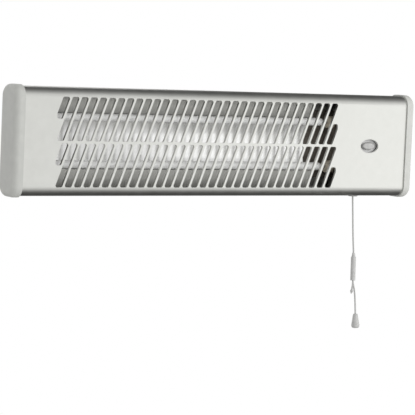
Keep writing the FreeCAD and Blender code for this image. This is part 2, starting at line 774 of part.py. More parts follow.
def end_cap(label, side):
    """A moulded end: a rounded shell proud of the casing, with a rim that plugs into it."""
    body = new_body(label)
    sketch = new_sketch(body, "YZ", HALF_LENGTH if side > 0 else f"-{HALF_LENGTH} - Size.cap_width")
    draw_outline(sketch, *rounded_section("-Size.cap_proud"))
    pad(body, sketch, "Size.cap_width")
    outer_x = side * number(f"{HALF_LENGTH} + Size.cap_width")
    round_edges(body, "Size.cap_edge", lambda edge: all(abs(v.X - outer_x) < 1e-6 for v in edge.Vertexes))
    hollow = new_sketch(body, "YZ", f"{'' if side > 0 else '-'}{HALF_LENGTH}")
    plug = "Size.sheet + Size.fit_gap"
    draw_outline(hollow, *rounded_section(f"{plug} + Size.cap_wall"))
    pocket(body, hollow, "Size.cap_width - Size.cap_wall", reverse=side > 0)
    rim = new_sketch(body, "YZ", f"{HALF_LENGTH} - Size.plug_depth" if side > 0 else f"-{HALF_LENGTH}")
    draw_outline(rim, *rounded_section(plug))
    draw_outline(rim, *rounded_section(f"{plug} + Size.cap_wall"))
    pad(body, rim, "Size.plug_depth")
    on_heater(body)
    node(body, label)


def lug_screw_places():
    """Two screws through the foot of each pivot lug."""
    x = f"({LUG_INNER} - Size.foot_length / 2)"
    return [(f"{side}{x}", f"{row}{RIVET_Z}") for side in ("-", "") for row in ("-", "")]


def pivot_lug(label, side):
    """An angle piece on the rear cover whose upright turns on the pivot bolt."""
    body = new_body(label)
    start = LUG_INNER if side > 0 else f"-{LUG_OUTER}"
    eyed_plate(body, start, REAR)
    foot = new_sketch(body, "XZ", f"{REAR} + Size.plate_sheet")
    inner, outer = f"({LUG_INNER} - Size.foot_length)", LUG_OUTER
    edges = (inner, outer) if side > 0 else (f"-{outer}", f"-{inner}")
    draw_box(foot, *edges, "-Size.arm_eye / 2", "Size.arm_eye / 2")
    pad(body, foot, "Size.plate_sheet")
    eye = new_sketch(body, "YZ", f"{start} + Size.plate_sheet")
    draw_circle(eye, "0", "0", "Size.pivot_bolt + 2 * Size.turning_gap")
    pocket(body, eye, "Size.plate_sheet")
    holes = new_sketch(body, "XZ", REAR)
    for x, z in lug_screw_places()[2 if side > 0 else 0:][:2]:
        draw_circle(holes, x, z, "Size.small_screw")
    pocket(body, holes, "Size.plate_sheet")
    on_heater(body)
    node(body, label)


# Heating tubes and reflector

def reflector():
    """A bent sheet: slanted legs on the casing's lips, flat wings, and a shallow trough behind the tubes."""
    body = new_body("reflector")
    start = f"({TUBE_LEFT} - Size.tip_length)"
    sketch = new_sketch(body, "YZ", start)
    thick = "Size.reflector_sheet"
    edge = f"({SLOT_TOP} + Size.wing_overlap)"
    foot = f"({LIP_END} + Size.lip_width / 4)"
    wing = f"({FRONT} + Size.wing_depth)"
    slope = f"(({edge} - {foot}) / ({LIP_FACE} - {wing}))"
    leg = f"({thick} * sqrt(1 + {slope} ^ 2))"
    wall = f"({TUBE_HALF} + Size.tube_diameter / 2 + Size.trough_gap)"
    floor = f"({COVER_INNER} - Size.trough_room)"
    shoulder = f"({floor} - Size.trough_sag)"
    radius = f"(({wall} * {wall} + Size.trough_sag * Size.trough_sag) / (2 * Size.trough_sag))"
    back = f"({shoulder} + {thick})"
    back_wall = f"({wall} + {thick})"
    wing_back = f"({wing} + {thick})"
    inner_edge = f"({edge} - {slope} * {thick} - {leg})"
    inner_foot = f"({foot} - {leg})"
    lift = "Size.core_lift"
    top, bottom = f"{lift} + {wall}", f"{lift} - {wall}"
    back_top, back_bottom = f"{lift} + {back_wall}", f"{lift} - {back_wall}"
    corners = [(LIP_FACE, foot), (wing, edge), (wing, top), (shoulder, top),
               (shoulder, bottom), (wing, bottom), (wing, f"-{edge}"), (LIP_FACE, f"-{foot}"),
               (LIP_FACE, f"-{inner_foot}"), (wing_back, f"-{inner_edge}"), (wing_back, back_bottom),
               (back, back_bottom), (back, back_top), (wing_back, back_top),
               (wing_back, inner_edge), (LIP_FACE, inner_foot)]
    centre = f"({floor} - {radius})"
    back_centre = f"({back} - sqrt(({radius} + {thick}) ^ 2 - {back_wall} ^ 2))"
    draw_outline(sketch, corners, {3: (centre, lift, -1), 11: (back_centre, lift, 1)})
    pad(body, sketch, f"{HALF_LENGTH} - Size.reflector_right_inset - {start}")
    on_heater(body)
    node(body, "reflector")


def quartz_tube(label, rise):
    body = ring_x(label, "Size.tube_diameter - 2 * Size.tube_wall", "Size.tube_diameter",
                  TUBE_LEFT, TUBE_LENGTH)
    node(on_heater(body, "0", TUBE_Y, rise), label)


def heating_coil(label, rise):
    """The wound resistance wire, a close sleeve inside the milky tube."""
    body = ring_x(label, "Size.coil_diameter - 2 * Size.coil_wall", "Size.coil_diameter",
                  TUBE_LEFT, TUBE_LENGTH)
    node(on_heater(body, "0", TUBE_Y, rise), label)


def end_plug(name, side):
    """The closed end of a tube, tapering to its pin."""
    return turned(name, "XZ", "H_Axis", [
        ("0", "0"), ("0", "Size.tube_diameter / 2"),
        (f"{side}Size.tip_length / 2", "Size.tip_middle / 2"),
        (f"{side}Size.tip_length", "Size.tip_end / 2"), (f"{side}Size.tip_length", "0")])


def terminal_pin(name, side):
    return turned(name, "XZ", "H_Axis", [
        (f"{side}Size.tip_length", "0"), (f"{side}Size.tip_length", "Size.pin_diameter / 2"),
        (f"{side}({HOLDER_TAIL} + Size.pin_reach)", "Size.pin_diameter / 2"),
        (f"{side}({HOLDER_TAIL} + Size.pin_reach)", "0")])


def ceramic_holder(name, side):
    """A stepped ceramic bush round the pin: its flange stands on the carrier, its spigot goes through."""
    bore = "Size.pin_diameter / 2 + Size.fit_gap / 2"
    near, shelf, tail = (f"{side}{place}" for place in (HOLDER_OFFSET, HOLDER_SHELF, HOLDER_TAIL))
    return turned(name, "XZ", "H_Axis", [
        (near, bore), (near, "Size.holder_diameter / 2"), (shelf, "Size.holder_diameter / 2"),
        (shelf, "Size.holder_spigot / 2"), (tail, "Size.holder_spigot / 2"), (tail, bore)])


def tube_ends():
    """The same three pieces on every end of both tubes."""
    makers = (("tube_end_plugs", end_plug), ("terminal_pins", terminal_pin),
              ("ceramic_holders", ceramic_holder))
    for label, make in makers:
        members = []
        for name, side, end in (("left", "-", TUBE_LEFT), ("right", "", TUBE_RIGHT)):
            for row, rise in TUBE_ROWS:
                piece = make(f"{label}_{row}_{name}", side)
                members.append(on_heater(piece, end, TUBE_Y, rise))
        group(label, members)


def carrier_face(side):
    """The carrier's inner face, where the holders' flanges stand."""
    return f"({TUBE_LEFT} - {HOLDER_SHELF})" if side < 0 else f"({TUBE_RIGHT} + {HOLDER_SHELF})"


def carrier_screw_places():
    """Two screws through the foot of each tube carrier."""
    half_foot = "(Size.carrier_sheet + Size.carrier_foot / 2)"
    places = []
    for side, sign in ((-1, "-"), (1, "+")):
        for row in ("-", ""):
            places.append((f"{carrier_face(side)} {sign} {half_foot}", f"{row}{TUBE_HALF} / 2"))
    return places


def tube_carrier(label, side):
    """An upright plate that holds two ceramic bushes, on a foot along the rear cover."""
    body = new_body(label)
    face = carrier_face(side)
    reach = f"({TUBE_HALF} + Size.holder_spigot / 2 + Size.carrier_rim)"
    low, high = f"Size.core_lift - {reach}", f"Size.core_lift + {reach}"
    front = f"({TUBE_Y} - Size.holder_spigot / 2 - Size.carrier_rim)"
    plate = new_sketch(body, "YZ", face if side > 0 else f"{face} - Size.carrier_sheet")
    draw_box(plate, front, COVER_INNER, low, high)
    for row, rise in TUBE_ROWS:
        draw_circle(plate, TUBE_Y, rise, "Size.holder_spigot + 2 * Size.fit_gap")
    pad(body, plate, "Size.carrier_sheet")
    far = f"{face} + {side} * (Size.carrier_sheet + Size.carrier_foot)"
    foot = new_sketch(body, "XZ", COVER_INNER)
    draw_box(foot, *((face, far) if side > 0 else (far, face)), low, high)
    pad(body, foot, "Size.carrier_sheet")
    holes = new_sketch(body, "XZ", f"{COVER_INNER} - Size.carrier_sheet")
    for x, z in carrier_screw_places()[2 if side > 0 else 0:][:2]:
        draw_circle(holes, x, z, "Size.small_screw")
    pocket(body, holes, "2 * Size.carrier_sheet")
    on_heater(body)
    node(body, label)


def thermal_cutout():
    """A round cut-out on the outer face of the right tube carrier."""
    flange, can = "Size.cutout_diameter / 2", "Size.cutout_can / 2"
    body = turned("thermal_cutout", "XZ", "H_Axis", [
        ("0", "0"), ("0", flange), ("Size.cutout_flange", flange), ("Size.cutout_flange", can),
        ("Size.cutout_height", can), ("Size.cutout_height", "0")])
    face = f"{carrier_face(1)} + Size.carrier_sheet"
    y = f"{COVER_INNER} - Size.carrier_sheet - Size.cutout_diameter / 2 - Size.fit_gap"
    node(on_heater(body, face, y, "0"), "thermal_cutout")


# Indicator

def indicator():
    """An oval bezel behind the window, dished round a domed lens, and the lamp in a tray on its back."""
    back = f"({PANEL_INNER} + Size.bezel_thickness)"
    lens_size = [f"(Size.oval_{way} - 2 * Size.bezel_ledge)" for way in ("width", "height")]
    dish_size = [f"(Size.oval_{way} - 2 * Size.bezel_lip)" for way in ("width", "height")]
    rim_size = [f"(Size.oval_{way} + 2 * Size.bezel_rim)" for way in ("width", "height")]
    bezel = new_body("indicator_bezel")
    ring = new_sketch(bezel, "XZ", back)
    draw_oval(ring, "0", "0", *rim_size)
    draw_oval(ring, "0", "0", *lens_size)
    pad(bezel, ring, "Size.bezel_thickness")
    dish = new_sketch(bezel, "XZ", PANEL_INNER)
    draw_oval(dish, "0", "0", *dish_size)
    pocket(bezel, dish, "Size.dish_depth")
    lens = new_body("indicator_lens")
    disc = new_sketch(lens, "XZ", back)
    draw_oval(disc, "0", "0", *[f"({size} - Size.fit_gap)" for size in lens_size])
    pad(lens, disc, "Size.bezel_thickness + Size.lens_proud")
    front = number(f"{PANEL_INNER} - Size.lens_proud")
    round_edges(lens, "Size.lens_round", lambda edge: all(abs(v.Y - front) < 1e-6 for v in edge.Vertexes))
    for body in (bezel, lens):
        node(on_heater(body, OVAL_X), body.Name)
    lamp_and_tray(back)


def lamp_and_tray(back):
    """A neon lamp lying in an open tray behind the lens."""
    radius = "(Size.lamp_diameter / 2)"
    deep = "(Size.lamp_diameter + 2 * Size.fit_gap)"
    half_tray = f"({radius} + Size.fit_gap + Size.tray_wall)"
    half_lamp = "(Size.lamp_length / 2 + Size.fit_gap)"
    straight = f"(Size.lamp_length / 2 - {radius})"
    tray = new_body("lamp_tray")
    block = new_sketch(tray, "XZ", f"{back} + {deep} + Size.tray_wall")
    draw_box(block, "-Size.oval_width / 2", "Size.oval_width / 2", f"-{half_tray}", half_tray)
    pad(tray, block, f"{deep} + Size.tray_wall")
    trough = new_sketch(tray, "XZ", back)
    draw_box(trough, f"-{half_lamp}", half_lamp, f"-({deep} / 2)", f"{deep} / 2")
    pocket(tray, trough, deep)
    lamp = turned("neon_lamp", "XZ", "H_Axis", [
        ("-Size.lamp_length / 2", "0"), (f"-{straight}", radius), (straight, radius),
        ("Size.lamp_length / 2", "0")], {0: (f"-{straight}", "0", -1), 2: (straight, "0", -1)})
    node(on_heater(tray, OVAL_X), "lamp_tray")
    node(on_heater(lamp, OVAL_X, f"{back} + Size.fit_gap + {radius}"), "neon_lamp")


# Switch, terminal block and grommet

def pull_switch_body():
    """A closed switch on a round seat, its neck through the casing's floor, bored for the plunger."""
    body = new_body("pull_switch_body")
    seat_top = f"({FLOOR} + Size.switch_seat)"
    box = new_sketch(body, "XY", seat_top)
    draw_box(box, "-Size.switch_width / 2", "Size.switch_width / 2",
             "-Size.switch_depth / 2", "Size.switch_depth / 2")
    pad(body, box, f"{BORE_TOP} + Size.switch_wall - {seat_top}")
    seat = new_sketch(body, "XY", FLOOR)
    draw_circle(seat, "0", "0", "Size.neck_diameter + 2 * Size.switch_seat")
    pad(body, seat, "Size.switch_seat")
    neck = new_sketch(body, "XY", f"-{HALF_HEIGHT}")
    draw_circle(neck, "0", "0", "Size.neck_diameter")
    pad(body, neck, "Size.sheet")
    bore = new_sketch(body, "XY", f"-{HALF_HEIGHT}")
    draw_circle(bore, "0", "0", SWITCH_BORE)
    pocket(body, bore, f"{BORE_TOP} + {HALF_HEIGHT}", reverse=True)
    node(on_heater(body, CORD_X, CORD_Y), "pull_switch_body")


def cord_guide_bush():
    """A flanged bush in the switch's neck, with a flared mouth for the cord."""
    under = f"(-{HALF_HEIGHT} - Size.bush_flange_height)"
    spigot = f"({SWITCH_BORE} / 2 - Size.fit_gap / 2)"
    body = turned("cord_guide_bush", "XZ", "V_Axis", [
        ("Size.bush_bore / 2", BUSH_TOP), ("Size.bush_bore / 2", f"{under} + Size.bush_flange_height"),
        ("Size.bush_bore / 2 + Size.bush_flange_height", under),
        ("Size.bush_flange / 2 - Size.bush_flange_height / 2", under),
        ("Size.bush_flange / 2", f"-{HALF_HEIGHT} - Size.bush_flange_height / 2"),
        ("Size.bush_flange / 2", f"-{HALF_HEIGHT}"), (spigot, f"-{HALF_HEIGHT}"), (spigot, BUSH_TOP)])
    node(on_heater(body, CORD_X, CORD_Y), "cord_guide_bush")


def switch_plunger():
    body = turned("switch_plunger", "XZ", "V_Axis", [
        ("0", PLUNGER_FOOT), ("Size.plunger_diameter / 2", PLUNGER_FOOT),
        ("Size.plunger_diameter / 2", f"{PLUNGER_FOOT} + Size.plunger_length"),
        ("0", f"{PLUNGER_FOOT} + Size.plunger_length")])
    node(on_heater(body, CORD_X, CORD_Y), "switch_plunger")


def inner_cord():
    """The cord's stretch inside the bush, with a round end about the point where the free cord swings."""
    radius = "(Size.cord_diameter / 2)"
    body = turned("inner_cord", "XZ", "V_Axis", [
        ("0", PLUNGER_FOOT), ("0", f"{SWING_Z} - {radius}"), (radius, SWING_Z), (radius, PLUNGER_FOOT)],
        {1: ("0", SWING_Z, 1)})
    node(on_heater(body, CORD_X, CORD_Y), "inner_cord")


def terminal_block():
    """A block of three screw wells on the rear cover."""
    body = new_body("terminal_block")
    box = new_sketch(body, "XZ", COVER_INNER)
    draw_box(box, "-Size.block_length / 2", "Size.block_length / 2",
             "-Size.block_height / 2", "Size.block_height / 2")
    pad(body, box, "Size.block_depth")
    wells = new_sketch(body, "XZ", f"{COVER_INNER} - Size.block_depth")
    for column in ("-Size.block_length / 3", "0", "Size.block_length / 3"):
        draw_circle(wells, column, "0", "Size.well_diameter")
    pocket(body, wells, "Size.block_depth / 2")
    on_heater(body, f"{HALF_LENGTH} - Size.block_inset", "0", BLOCK_RISE)
    node(body, "terminal_block")


def cable_grommet():
    """A blind rubber grommet in the rear cover, where the supply cable is let in."""
    hole = "(Size.grommet_hole / 2 - Size.fit_gap / 2)"
    dimple = "Size.grommet_dimple / 2"
    rim = "Size.grommet_diameter / 2"
    back = f"({REAR} + Size.grommet_lip)"
    middle = f"({REAR} + Size.grommet_lip / 2)"
    front = f"({COVER_INNER} - Size.grommet_lip)"
    body = turned("cable_grommet", "XY", "V_Axis", [
        ("0", middle), (dimple, middle), (dimple, back), (f"{rim} - Size.grommet_lip / 2", back),
        (rim, middle), (rim, REAR), (hole, REAR), (hole, COVER_INNER), (rim, COVER_INNER), (rim, front),
        ("0", front)])
    node(on_heater(body, GROMMET_X, "0", f"-{GROMMET_DROP}"), "cable_grommet")


# Free cord and what hangs on it

def cord_path(points):
    """Straight runs joined by tangent arcs, each as large as its two runs allow. Prints the radii."""
    points = [V(*point) for point in points]
    edges, radii = [], []
    last = points[0]
    for before, corner, after in zip(points, points[1:], points[2:]):
        to_before, to_after = before - corner, after - corner
        trim = ARC_SHARE * min(to_before.Length, to_after.Length)
        half_turn = (math.pi - to_before.getAngle(to_after)) / 2
        radii.append(trim / math.tan(half_turn))
        start = corner + to_before.normalize() * trim
        end = corner + to_after.normalize() * trim
        inward = (to_before + to_after).normalize()
        sag = radii[-1] * (1 / math.cos(half_turn) - 1)
        edges.append(Part.LineSegment(last, start).toShape())
        edges.append(Part.Arc(start, corner + inward * sag, end).toShape())
        last = end
    edges.append(Part.LineSegment(last, points[-1]).toShape())
    print("cord radii, mm:", [round(radius, 1) for radius in radii])
    return Part.Wire(edges)


def cord_tube(points):
    """A round cord along its route, its volume compared with section times length."""
    path = cord_path(points)
    radius = number("Size.cord_diameter / 2")
    heading = V(*points[1]) - V(*points[0])
    section = Part.Wire(Part.Circle(V(*points[0]), heading, radius).toShape())
    tube = path.makePipeShell([section], True, False)
    wanted = math.pi * radius ** 2 * path.Length
    if abs(tube.Volume / wanted - 1) > 0.01:
        raise RuntimeError("a cord's volume is off")
    print("cord length, mm:", round(path.Length, 1))
    return tube


def shaped(label, shape):
    """A sub-part whose shape is worked out here, hung on the cord."""
    feature = doc.addObject("Part::Feature", label)
    feature.Shape = shape
    return node(on_cord(feature), label)


def free_cords():
    """The cord from the switch, with its knotted tail, and the second cord down to the bell."""
    cup = number("Size.cord_diameter / 2 + Size.swing_gap")
    upper = cord_tube(UPPER_ROUTE).cut(Part.makeSphere(cup, V(*UPPER_ROUTE[0])))
    shaped("upper_cord", upper)
    knot_radius = number("Size.knot_diameter / 2")
    tail, end = V(*UPPER_ROUTE[-2]), V(*UPPER_ROUTE[-1])
    knot = Part.makeSphere(knot_radius, end + (end - tail).normalize() * knot_radius / 2)
    shaped("tail_knot", knot.cut(upper))
    shaped("lower_cord", cord_tube(LOWER_ROUTE))


def connector_half(label, outline):
    """One half of the barrel that joins the cords, turned about its leaning axis."""
    body = turned(label, "XZ", "V_Axis", outline)
    body.Placement = FreeCAD.Placement(V(), FreeCAD.Rotation(V(0, 1, 0), number("Size.connector_lean")))
    on_cord(body, "Size.connector_shift", "0", "(-Size.connector_top)")
    body.setExpression("Placement.Rotation.Angle", "Size.connector_lean")
    node(body, label)


def cord_connector():
    """A two-part barrel: a nosed upper half, and a lower half whose spigot plugs into it."""
    barrel, bore = "Size.connector_diameter / 2", "Size.connector_bore / 2"
    bevel = f"{barrel} - Size.joint_chamfer"
    cord = "(Size.cord_diameter / 2 + Size.cord_slack)"
    joint = "(-Size.upper_half_length)"
    foot = f"({joint} - Size.lower_half_length)"
    overlap = f"({joint} + Size.joint_overlap)"
    spigot = f"({bore} + Size.joint_wall)"
    socket = f"({spigot} + Size.fit_gap / 2)"
    socket_top = f"({overlap} + Size.fit_gap)"
    connector_half("connector_upper_half", [
        (cord, "Size.nose_length"), (cord, "-Size.nose_wall"), (bore, "-Size.nose_wall"), (bore, socket_top),
        (socket, socket_top), (socket, joint), (bevel, joint), (barrel, f"{joint} + Size.joint_chamfer"),
        (barrel, "-Size.joint_chamfer"), (bevel, "0"), ("Size.nose_base / 2", "0"),
        ("Size.nose_tip / 2", "Size.nose_length")])
    connector_half("connector_lower_half", [
        (bore, overlap), (bore, foot), (bevel, foot), (barrel, f"{foot} + Size.joint_chamfer"),
        (barrel, f"{joint} - Size.joint_chamfer"), (bevel, joint), (spigot, joint), (spigot, overlap)])


def pull_bell():
    """A bell-shaped pull on the end of the lower cord."""
    x, y, z = LOWER_ROUTE[-1]
    top = f"({z} + Size.bell_hole_depth)"
    foot = f"({top} - Size.bell_length)"
    wide, neck = "Size.bell_diameter / 2", "Size.bell_neck / 2"
    flat = f"({wide} - Size.bell_round)"
    bend = f"({foot} + Size.bell_round)"
    hole = "(Size.cord_diameter / 2 + Size.cord_slack)"
    body = turned("pull_bell", "XZ", "V_Axis", [
        ("0", z), ("0", foot), (flat, foot), (wide, bend), (wide, f"{top} - Size.bell_flare"),
        (neck, f"{top} - Size.bell_chamfer"), (f"{neck} - Size.bell_chamfer", top), (hole, top), (hole, z)],
        {2: (flat, bend, 1)})
    node(on_cord(body, x, y), "pull_bell")


def build():
    wall_plate()
    for side, word in ((-1, "left"), (1, "right")):
        bracket_arm(f"{word}_bracket_arm", side)
        pivot_lug(f"{word}_pivot_lug", side)
        end_cap(f"{word}_end_cap", side)
        tube_carrier(f"{word}_tube_carrier", side)
    bracket_rivets()
    pivot_bolts()
    pivot_washers()
    pivot_nuts()
    front_housing()
    rear_cover()
    screw_group("rear_cover_screws", cover_screw_places(), "Size.cover_sheet + Size.sheet", REAR)
    screw_group("lug_screws", lug_screw_places(), "Size.plate_sheet + Size.cover_sheet",
                f"{REAR} + Size.plate_sheet")
    screw_group("carrier_screws", carrier_screw_places(), "Size.cover_sheet + Size.carrier_sheet", REAR)
    reflector()
    for row, rise in TUBE_ROWS:
        quartz_tube(f"{row}_quartz_tube", rise)
        heating_coil(f"{row}_heating_coil", rise)
    tube_ends()
    thermal_cutout()
    indicator()
    pull_switch_body()
    cord_guide_bush()
    switch_plunger()
    inner_cord()
    terminal_block()
    cable_grommet()
    free_cords()
    cord_connector()
    pull_bell()


def check_and_write():
    """Stop on any failed object or broken shape, then write every sub-part."""
    doc.recompute()
    for item in doc.Objects:
        if "Invalid" in item.State or "Error" in item.State:
            raise RuntimeError(f"{item.Name} failed: {item.State}")
    for piece in nodes:
        if piece.Shape.isNull() or not piece.Shape.isValid() or not piece.Shape.Solids:
            raise RuntimeError(f"{piece.Label} has no sound shape")
    os.makedirs("parts", exist_ok=True)
    for piece in nodes:
        piece.Shape.exportStep(f"parts/{piece.Label}.step")
    print(len(nodes), "sub-parts written")


build()
check_and_write()
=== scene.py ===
"""Looks of the quartz wall heater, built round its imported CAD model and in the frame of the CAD.

Lengths are in metres, or in millimetres where a comment says so.
"""
import json
import math

import bpy
from mathutils import Matrix, Vector


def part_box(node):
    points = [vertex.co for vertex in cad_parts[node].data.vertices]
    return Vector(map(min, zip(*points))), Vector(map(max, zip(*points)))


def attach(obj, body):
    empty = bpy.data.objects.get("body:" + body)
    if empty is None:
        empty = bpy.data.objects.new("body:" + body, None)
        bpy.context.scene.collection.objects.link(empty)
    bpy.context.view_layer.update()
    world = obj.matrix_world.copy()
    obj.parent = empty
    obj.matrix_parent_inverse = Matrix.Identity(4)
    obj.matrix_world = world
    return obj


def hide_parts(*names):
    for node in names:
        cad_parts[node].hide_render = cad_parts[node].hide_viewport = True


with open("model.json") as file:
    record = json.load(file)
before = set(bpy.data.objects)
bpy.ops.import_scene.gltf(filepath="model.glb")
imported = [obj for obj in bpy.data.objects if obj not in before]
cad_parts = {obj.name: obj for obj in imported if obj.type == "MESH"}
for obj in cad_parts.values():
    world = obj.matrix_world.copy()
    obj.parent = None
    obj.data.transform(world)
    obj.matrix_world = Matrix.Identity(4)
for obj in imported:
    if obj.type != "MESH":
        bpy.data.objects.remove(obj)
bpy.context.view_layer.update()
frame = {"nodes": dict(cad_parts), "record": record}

nodes = frame["nodes"]
joints = {joint["name"]: joint for joint in frame["record"]["behaviour"]["joints"]}

MM = 0.001

# Camera at the photograph's place, with its lens in millimetres
CAMERA_PLACE = Vector((-1.4377, -2.41023, -0.06452))
CAMERA_AIM = Vector((0.51904, 0.85471, -0.00783))
CAMERA_LENS = 184.4
CAMERA_REACH = 50.0

# Pull cord, in millimetres from the mouth of its guide bush: right, back, up
CORD_MOUTH = Vector(joints["cord_plumb"]["pos_m"])
CORD_DIAMETER = 2.2
UPPER_ROUTE = [
    (0.0, 0.0, 0.0),
    (0.25, 0.0, -22.0),
    (0.6, 0.1, -46.0),
    (1.0, 0.05, -63.0),
    (1.55, 0.0, -75.5),
    (1.25, -0.15, -83.5),
    (0.3, -0.97, -94.0),
    (0.0, -1.0, -105.0),
    (-0.35, -1.04, -114.5),
    (-0.9, -0.9, -120.5),
    (-1.8, -0.45, -126.0),
]
LOWER_ROUTE = [
    (1.4, 1.0, -98.0),
    (1.2, 1.03, -106.0),
    (0.95, 1.0, -114.5),
    (2.1, 0.7, -120.5),
    (3.3, 0.2, -128.0),
    (3.75, -0.3, -138.5),
    (3.95, -0.6, -151.0),
    (4.0, -0.7, -163.0),
]

# Knot on the loose tail, in millimetres: its middle from the mouth, its turns, its cord and its short end
KNOT_PLACE = (-1.97, -0.37, -127.1)
KNOT_TURN, KNOT_DEPTH, KNOT_CORD = 0.47, 0.75, 1.9
KNOT_POINTS = 36
KNOT_END = [(0.0, 0.0, -0.8), (-0.25, 0.1, -2.2), (-0.7, 0.15, -3.4)]

# Fineness of the cords' meshes: round the cord, and along it between control points
CORD_ROUNDNESS = 4
CORD_STEPS, KNOT_STEPS = 8, 4

# Reflector sheet, in millimetres back from and above the pivot, with the heater upright
PIVOT = Vector(joints["tilt"]["pos_m"])
REST_TILT = math.radians(-joints["tilt"]["range_deg"][0])
SHEET_THICKNESS = 0.8
SHEET_CREASE = math.radians(20)
FOOT_BACK, FOOT_HEIGHT = -17.0, 47.25
WING_BACK, WING_HEIGHT = -40.0, 57.0
TROUGH_LIFT, TROUGH_HALF, TROUGH_FLOOR = 0.9, 35.3, -19.0
ARC_MIDDLE, ARC_RADIUS, ARC_STEPS = -5.0, 80.0, 48

# Wings of the reflector: their painted shade, as tones by millimetres above the trough's middle with a bluish
# cast, and border in millimetres
WING_PAINTED_SHADE = [(-55, 0.44), (-50, 0.48), (-46, 0.60), (-35, 0.67), (36, 0.47), (46, 0.69)]
WING_SHADE_BLUE = 0.965
WING_DULLNESS = 0.42
WING_BORDER = 0.1

# Screws, in millimetres: rings of a head as radius and height over its seat, the shank, the cross recess
SCREW_NODES = ("rear_cover_screws", "lug_screws", "carrier_screws")
HEAD_RINGS = [(3.0, 0.0), (2.92, 0.7), (2.6, 1.35), (2.05, 1.8)]
SHANK_RADIUS = 1.5
CROSS_HALF_LENGTH, CROSS_HALF_WIDTH = 1.6, 0.42
CROSS_DEPTH, CROSS_TAPER = 1.1, 0.75
SCREW_CREASE = math.radians(35)
# Each screw is turned by this much more than the one before it
SCREW_TURN = math.radians(137.5)
# Each point of a screw lies nearer than this to another of its points, seen along its axis
SCREW_LINK = 2.0

# Usual range of a noise texture, and its detail in clouds of colour and in a fine grain
NOISE_RANGE = (0.3, 0.7)
CLOUD_DETAIL, GRAIN_DETAIL = 3.0, 2.0

# Inner faces of the casing, and wall of the indicator's dish with the painted shade on it, told by the Y of a
# face's normal
INNER_FACING = (0.5, 0.6)
INNER_COLOUR = (0.93, 0.93, 0.92)
INNER_DULLNESS = 0.3
DISH_WALL_FACING = (-0.7, -0.5)
DISH_WALL_SHADE = (0.09, 0.09, 0.088)

# Braid of the cord: lean of its strands, bands of the wave texture, and relief in millimetres
STRAND_LEAN = math.radians(35)
STRAND_SCALE = 350.0
STRAND_RELIEF = 0.15

# Light round the heater: how bright it is by the angle above (+) or below (-) the view out from the wall
SKY = [(-180, 0.60), (-150, 0.10), (-105, 0.04), (-75, 0.10), (-53, 0.43), (-36, 0.89), (30, 0.89),
       (50, 0.45), (75, 0.145), (105, 0.065), (150, 0.10), (180, 0.60)]
# Share of plain white in it for diffuse light
EVENNESS = 0.6

# Floor: where its fading into white starts and ends, its glow to the eye, and its patches in millimetres
FLOOR_HEIGHT = -0.7
FLOOR_SIZE = 3.6
FLOOR_FADE = (0.5, 1.75)
FLOOR_GLOW = 0.14
FLOOR_DARK, FLOOR_LIGHT = (0.77, 0.77, 0.77), (0.8, 0.8, 0.8)
FLOOR_PATCH = 400.0
FLOOR_ROUGH = (0.8, 0.9)

# Lamps: place, the point each one faces, width, height, watts, and whether metal mirrors it
PANEL_POINT = (0.2, -0.06, 0.0)
LAMPS = {
    "key": ((1.0, -1.2, 0.35), PANEL_POINT, 0.7, 0.7, 8.0, False),
    "sheen": ((1.42, -1.22, -0.26), PANEL_POINT, 1.5, 1.3, 2.9, True),
    "rear": ((0.0, 1.5, 0.8), (0.0, 0.0, 0.0), 1.8, 1.6, 8.0, True),
}


# Materials

class Graph:
    """The nodes of a material or of the world, with short ways to add and link them."""

    def __init__(self, tree):
        self.tree = tree

    def add(self, kind, **settings):
        """A new node of a kind, with its settings."""
        node = self.tree.nodes.new(kind)
        for name, value in settings.items():
            setattr(node, name, value)
        return node

    def link(self, output, target):
        self.tree.links.new(output, target)

    def work_out(self, operation, *terms):
        """A sum or another function of outputs and plain numbers."""
        node = self.add("ShaderNodeMath", operation=operation)
        for socket, term in zip(node.inputs, terms):
            if isinstance(term, float):
                socket.default_value = term
            else:
                self.link(term, socket)
        return node.outputs["Value"]

    def axis(self, vector, name):
        """One part of a vector: X, Y or Z."""
        split = self.add("ShaderNodeSeparateXYZ")
        self.link(vector, split.inputs["Vector"])
        return split.outputs[name]

    def spread(self, factor, low, high, start, end):
        """A factor's range from start to end, carried to low ... high."""
        carried = self.add("ShaderNodeMapRange")
        for socket, value in zip(("From Min", "From Max", "To Min", "To Max"), (start, end, low, high)):
            carried.inputs[socket].default_value = value
        self.link(factor, carried.inputs["Value"])
        return carried.outputs["Result"]

    def ramp(self, factor, stops):
        """Colours by a factor: each stop has a position and a colour."""
        ramp = self.add("ShaderNodeValToRGB")
        elements = ramp.color_ramp.elements
        for _ in range(len(stops) - len(elements)):
            elements.new(0.5)
        for element, (position, colour) in zip(elements, stops):
            element.position = position
            element.color = (*colour, 1)
        self.link(factor, ramp.inputs["Fac"])
        return ramp.outputs["Color"]


